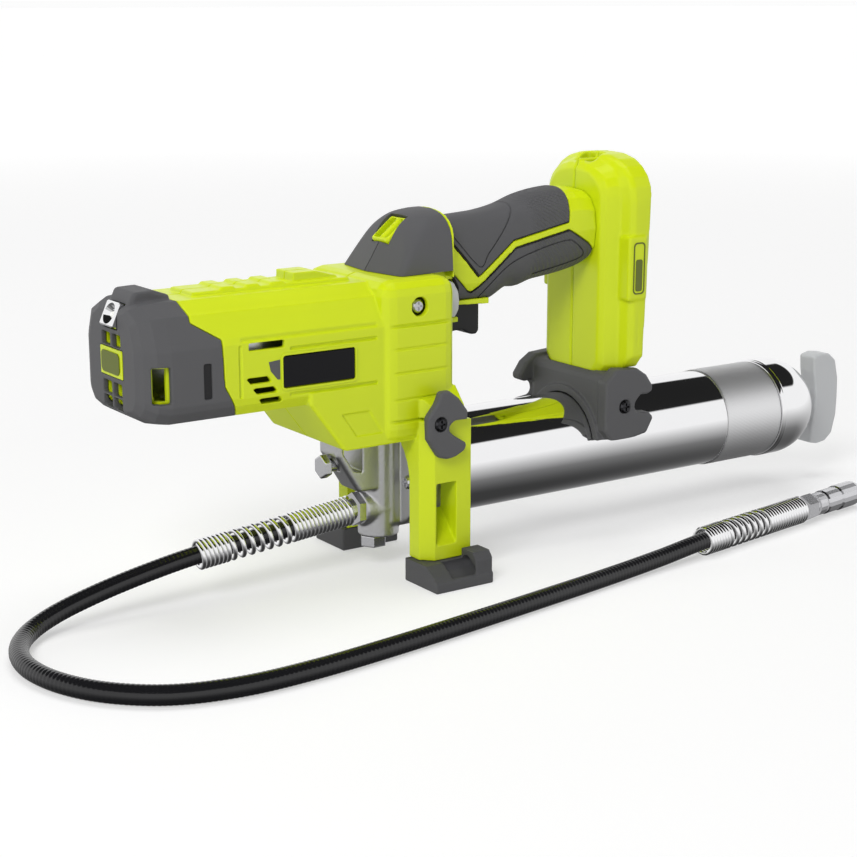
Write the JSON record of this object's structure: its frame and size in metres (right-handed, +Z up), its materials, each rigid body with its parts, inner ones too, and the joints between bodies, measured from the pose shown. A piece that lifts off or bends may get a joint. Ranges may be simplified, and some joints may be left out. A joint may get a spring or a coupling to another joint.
{
  "type": "grease gun",
  "caption": "Cordless grease gun: a motor body over a cast pump head, a chrome grease barrel with a pull rod, a D-handle with a battery dock, and a flexible hose.",
  "frame": {"origin": "on the floor under the middle of the tool, measured without the hose; the feet stand on z = 0", "axes": "+X from the motor nose to the T-handle, along the barrel; +Y to the tool's right-hand side as seen from its rear; +Z up"},
  "size_m": [0.5747, 0.1931, 0.217],
  "materials": {
    "green_shell": "satin moulded plastic",
    "dark_cap": "fine matt texture",
    "grip_rubber": "matt, fine texture",
    "black_plastic": "satin",
    "foot_rubber": "matt",
    "grey_plastic": "satin",
    "chrome": "polished",
    "satin_steel": "knurled satin",
    "steel": "plain",
    "cast_metal": "as cast",
    "hose_rubber": "glossy",
    "clear_lens": "clear"
  },
  "bodies": {
    "frame": {"housing_left": "green_shell", "housing_right": "green_shell", "dock_left": "green_shell", "dock_right": "green_shell", "nose_liner": "green_shell", "nose_badge": "green_shell", "strap_cup_front": "green_shell", "motor_end_cap": "dark_cap", "top_cap": "dark_cap", "barrel_saddle": "dark_cap", "front_hook_left": "dark_cap", "front_hook_right": "dark_cap", "upper_grip": "grip_rubber", "lower_grip": "grip_rubber", "label_plate_left": "black_plastic", "label_plate_right": "black_plastic", "trigger_switch": "black_plastic", "battery_terminals": "black_plastic", "foot_left": "foot_rubber", "foot_right": "foot_rubber", "guard_spring_near": "chrome", "guard_spring_far": "chrome", "led_reflector": "chrome", "trigger_spring": "steel", "saddle_screw_left": "steel", "saddle_screw_right": "steel", "front_hook_screw_left": "steel", "front_hook_screw_right": "steel", "housing_screw_gear": "steel", "motor_can": "steel", "ring_gear": "steel", "crank_bearing": "steel", "relief_plug": "steel", "flange_screw_left": "steel", "flange_screw_right": "steel", "hose_fitting": "steel", "hose_end_fitting": "steel", "coupler_adapter": "steel", "coupler": "steel", "pump_head": "cast_metal", "gear_case": "cast_metal", "hose": "hose_rubber", "led_lens": "clear_lens"},
    "trigger": {"trigger": "black_plastic"},
    "lock_button": {"lock_button": "grey_plastic"},
    "motor": {"rotor": "steel", "sun_pinion": "steel"},
    "carrier": {"carrier_crank": "steel"},
    "planet_1": {"planet_gear_1": "steel"},
    "planet_2": {"planet_gear_2": "steel"},
    "planet_3": {"planet_gear_3": "steel"},
    "plunger": {"yoke_plunger": "steel"},
    "bleeder": {"bleeder_valve": "steel"},
    "barrel": {"barrel_tube": "chrome", "knurled_collar": "satin_steel", "end_cap": "chrome", "follower_spring": "steel"},
    "follower": {"follower_piston": "black_plastic"},
    "handle_rod": {"follower_rod": "chrome", "t_handle": "grey_plastic"}
  },
  "joints": [
    {"name": "trigger_pull", "type": "slide", "parent": "frame", "child": "trigger", "axis": [0, 0, 1], "range_m": [0, 0.005], "stiffness_N_per_m": 300, "springref_m": -0.003, "deforming": ["trigger_spring"]},
    {"name": "lock_button_push", "type": "slide", "parent": "frame", "child": "lock_button", "axis": [0, 1, 0], "range_m": [-0.003, 0.003], "stiffness_N_per_m": 300},
    {"name": "motor_spin", "type": "hinge", "parent": "frame", "child": "motor", "pos_m": [-0.19, 0, 0.131], "axis": [1, 0, 0], "continuous": true},
    {"name": "carrier_spin", "type": "hinge", "parent": "frame", "child": "carrier", "pos_m": [-0.118, 0, 0.131], "axis": [1, 0, 0], "continuous": true},
    {"name": "planet_spin_1", "type": "hinge", "parent": "carrier", "child": "planet_1", "pos_m": [-0.126, 0, 0.1445], "axis": [1, 0, 0], "continuous": true},
    {"name": "planet_spin_2", "type": "hinge", "parent": "carrier", "child": "planet_2", "pos_m": [-0.126, -0.01169, 0.12425], "axis": [1, 0, 0], "continuous": true},
    {"name": "planet_spin_3", "type": "hinge", "parent": "carrier", "child": "planet_3", "pos_m": [-0.126, 0.01169, 0.12425], "axis": [1, 0, 0], "continuous": true},
    {"name": "plunger_stroke", "type": "slide", "parent": "frame", "child": "plunger", "axis": [0, 0, 1], "range_m": [-0.0045, 0.0045]},
    {"name": "bleeder_turn", "type": "hinge", "parent": "frame", "child": "bleeder", "pos_m": [-0.131, 0.001, 0.06], "axis": [1, 0, 0], "range_deg": [0, 180]},
    {"name": "barrel_unscrew", "type": "hinge", "parent": "frame", "child": "barrel", "pos_m": [-0.075, 0, 0.052], "axis": [1, 0, 0], "continuous": true},
    {"name": "follower_pull", "type": "slide", "parent": "barrel", "child": "follower", "axis": [1, 0, 0], "range_m": [0, 0.19], "stiffness_N_per_m": 150, "springref_m": -0.05, "deforming": ["follower_spring"]},
    {"name": "t_handle_turn", "type": "hinge", "parent": "follower", "child": "handle_rod", "pos_m": [0.2, 0, 0.052], "axis": [1, 0, 0], "range_deg": [0, 90]}
  ],
  "couplings": [
    {"joint": "carrier_spin", "follows": "motor_spin", "ratio": 0.2},
    {"joint": "planet_spin_1", "follows": "motor_spin", "ratio": -0.53333},
    {"joint": "planet_spin_2", "follows": "motor_spin", "ratio": -0.53333},
    {"joint": "planet_spin_3", "follows": "motor_spin", "ratio": -0.53333}
  ]
}
